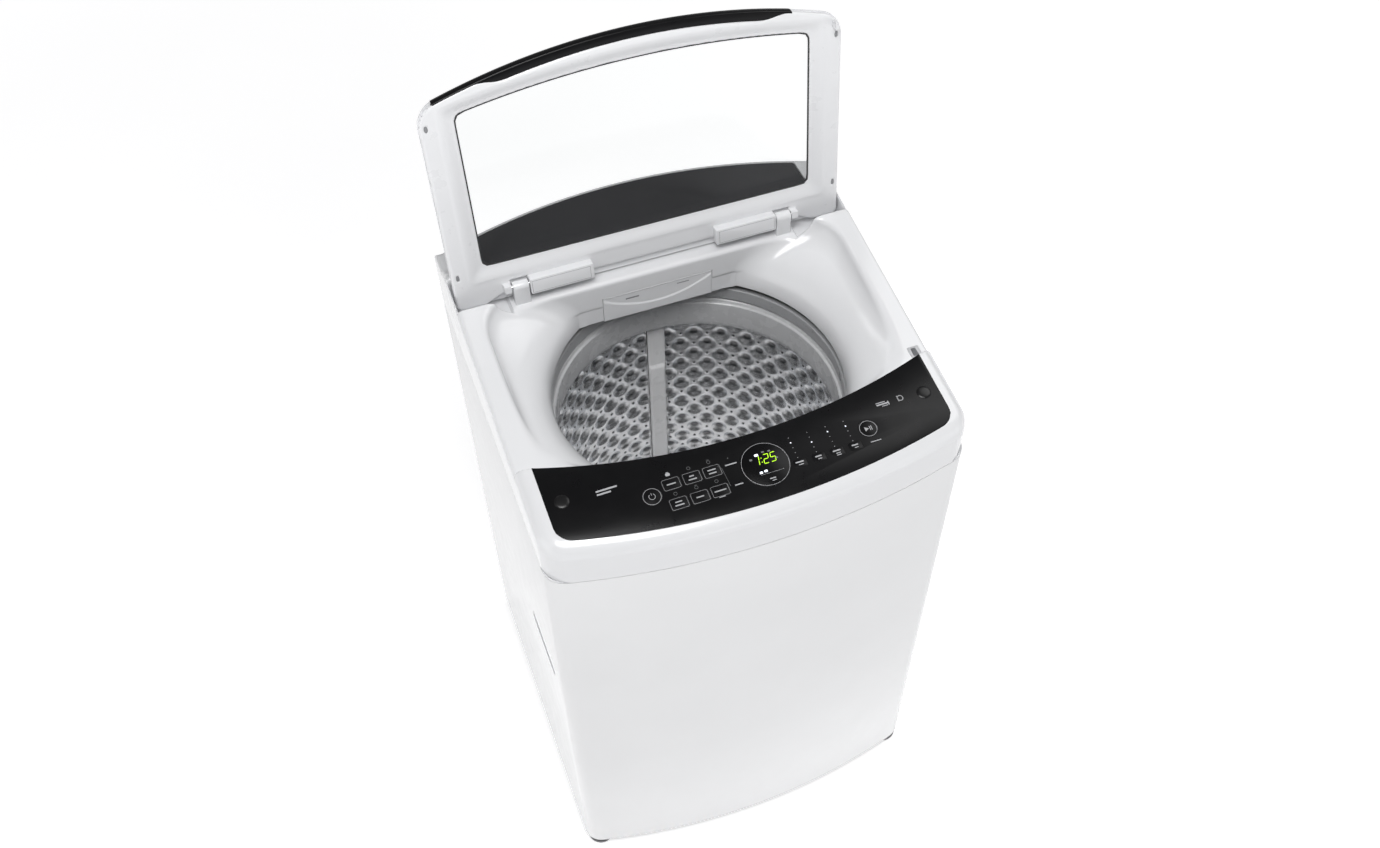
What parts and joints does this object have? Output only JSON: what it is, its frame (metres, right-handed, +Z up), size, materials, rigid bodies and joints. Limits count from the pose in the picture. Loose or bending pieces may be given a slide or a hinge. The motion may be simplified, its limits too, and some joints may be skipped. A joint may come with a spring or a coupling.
{
  "type": "top load washing machine",
  "caption": "Top load washing machine with a glazed lid open over a steel spin basket, a bowed white cabinet and a black key panel in front.",
  "frame": {"origin": "on the floor under the middle of the machine's footprint", "axes": "+Z up, +Y towards the back, +X to the right seen from the front"},
  "size_m": [0.632, 0.67, 1.3576],
  "materials": {
    "cabinet_paint": "gloss",
    "zinc_sheet": "satin",
    "dark_plastic": "matte",
    "foot_plastic": "matte",
    "white_plastic": "gloss",
    "black_gloss": "gloss",
    "black_rubber": "matte",
    "display_glass": "gloss",
    "board_green": "matte",
    "grey_plastic": "satin",
    "housing_plastic": "satin",
    "cold_blue": "satin",
    "hot_red": "satin",
    "bright_steel": "ground",
    "spring_steel": "satin",
    "tub_plastic": "satin",
    "ring_grey": "satin",
    "copper_core": "satin",
    "cast_alloy": "cast",
    "basket_steel": "bright",
    "strip_grey": "satin",
    "rotor_steel": "satin",
    "clear_glass": "gloss"
  },
  "bodies": {
    "casing": {"cabinet": "cabinet_paint", "back_panel": "zinc_sheet", "service_cover": "zinc_sheet", "base_frame": "dark_plastic", "feet": "foot_plastic", "side_grips": "white_plastic", "top_cover": "white_plastic", "back_deck": "black_gloss", "control_panel": "black_gloss", "panel_buffers": "black_rubber", "display_window": "display_glass", "control_board": "board_green", "lid_lock": "grey_plastic", "hinge_arms": "white_plastic", "dispenser_housing": "housing_plastic", "cold_inlet_valve": "cold_blue", "hot_inlet_valve": "hot_red", "fill_hoses": "black_rubber", "drain_pump": "dark_plastic", "drain_pipe": "dark_plastic", "cord_gland": "black_rubber", "suspension_rods": "bright_steel", "suspension_springs": "spring_steel", "drain_bellows": "black_rubber"},
    "tub": {"outer_tub": "tub_plastic", "tub_cover": "ring_grey", "motor_stator": "copper_core", "bearing_housing": "cast_alloy", "shaft_bearings": "bright_steel"},
    "basket": {"basket_wall": "basket_steel", "basket_base": "tub_plastic", "balance_ring": "ring_grey", "lint_strip": "strip_grey", "spin_shaft": "bright_steel"},
    "agitator": {"pulsator": "white_plastic", "pulsator_cap": "grey_plastic", "wash_shaft": "bright_steel", "motor_rotor": "rotor_steel"},
    "lid": {"lid_inner_frame": "white_plastic", "lid_outer_frame": "white_plastic", "lid_glass": "clear_glass", "lid_trim": "black_gloss", "hinge_covers": "white_plastic", "hinge_pins": "bright_steel", "lid_screw_caps": "grey_plastic", "lid_striker": "white_plastic"},
    "drawer": {"drawer_front": "white_plastic", "drawer_tray": "housing_plastic"},
    "power_key": {"power_key": "black_gloss"},
    "start_key": {"start_key": "black_gloss"},
    "course_key_1": {"course_key_1": "black_gloss"},
    "course_key_2": {"course_key_2": "black_gloss"},
    "course_key_3": {"course_key_3": "black_gloss"},
    "course_key_4": {"course_key_4": "black_gloss"},
    "course_key_5": {"course_key_5": "black_gloss"},
    "course_key_6": {"course_key_6": "black_gloss"},
    "option_key_1": {"option_key_1": "black_gloss"},
    "option_key_2": {"option_key_2": "black_gloss"},
    "option_key_3": {"option_key_3": "black_gloss"},
    "option_key_4": {"option_key_4": "black_gloss"}
  },
  "joints": [
    {"name": "lid_hinge", "type": "hinge", "parent": "casing", "child": "lid", "pos_m": [0, 0.156, 0.9987], "axis": [1, 0, 0], "range_deg": [0, 105.05]},
    {"name": "drawer_slide", "type": "slide", "parent": "casing", "child": "drawer", "axis": [0, -1, 0], "range_m": [0, 0.09]},
    {"name": "tub_bounce", "type": "slide", "parent": "casing", "child": "tub", "axis": [0, 0, 1], "range_m": [-0.01, 0.01], "stiffness_N_per_m": 14000, "springref_m": 0.02015, "deforming": ["suspension_springs", "drain_bellows"]},
    {"name": "basket_spin", "type": "hinge", "parent": "tub", "child": "basket", "pos_m": [0, -0.03, 0.56], "axis": [0, 0, 1], "continuous": true},
    {"name": "agitator_spin", "type": "hinge", "parent": "tub", "child": "agitator", "pos_m": [0, -0.03, 0.36], "axis": [0, 0, 1], "continuous": true},
    {"name": "power_key_press", "type": "slide", "parent": "casing", "child": "power_key", "axis": [0, 0.1366, -0.9906], "range_m": [0, 0.0006], "stiffness_N_per_m": 2500},
    {"name": "start_key_press", "type": "slide", "parent": "casing", "child": "start_key", "axis": [0, 0.1366, -0.9906], "range_m": [0, 0.0006], "stiffness_N_per_m": 2500},
    {"name": "course_key_1_press", "type": "slide", "parent": "casing", "child": "course_key_1", "axis": [0, 0.1366, -0.9906], "range_m": [0, 0.0006], "stiffness_N_per_m": 2500},
    {"name": "course_key_2_press", "type": "slide", "parent": "casing", "child": "course_key_2", "axis": [0, 0.1366, -0.9906], "range_m": [0, 0.0006], "stiffness_N_per_m": 2500},
    {"name": "course_key_3_press", "type": "slide", "parent": "casing", "child": "course_key_3", "axis": [0, 0.1366, -0.9906], "range_m": [0, 0.0006], "stiffness_N_per_m": 2500},
    {"name": "course_key_4_press", "type": "slide", "parent": "casing", "child": "course_key_4", "axis": [0, 0.1366, -0.9906], "range_m": [0, 0.0006], "stiffness_N_per_m": 2500},
    {"name": "course_key_5_press", "type": "slide", "parent": "casing", "child": "course_key_5", "axis": [0, 0.1366, -0.9906], "range_m": [0, 0.0006], "stiffness_N_per_m": 2500},
    {"name": "course_key_6_press", "type": "slide", "parent": "casing", "child": "course_key_6", "axis": [0, 0.1366, -0.9906], "range_m": [0, 0.0006], "stiffness_N_per_m": 2500},
    {"name": "option_key_1_press", "type": "slide", "parent": "casing", "child": "option_key_1", "axis": [0, 0.1366, -0.9906], "range_m": [0, 0.0006], "stiffness_N_per_m": 2500},
    {"name": "option_key_2_press", "type": "slide", "parent": "casing", "child": "option_key_2", "axis": [0, 0.1366, -0.9906], "range_m": [0, 0.0006], "stiffness_N_per_m": 2500},
    {"name": "option_key_3_press", "type": "slide", "parent": "casing", "child": "option_key_3", "axis": [0, 0.1366, -0.9906], "range_m": [0, 0.0006], "stiffness_N_per_m": 2500},
    {"name": "option_key_4_press", "type": "slide", "parent": "casing", "child": "option_key_4", "axis": [0, 0.1366, -0.9906], "range_m": [0, 0.0006], "stiffness_N_per_m": 2500}
  ]
}
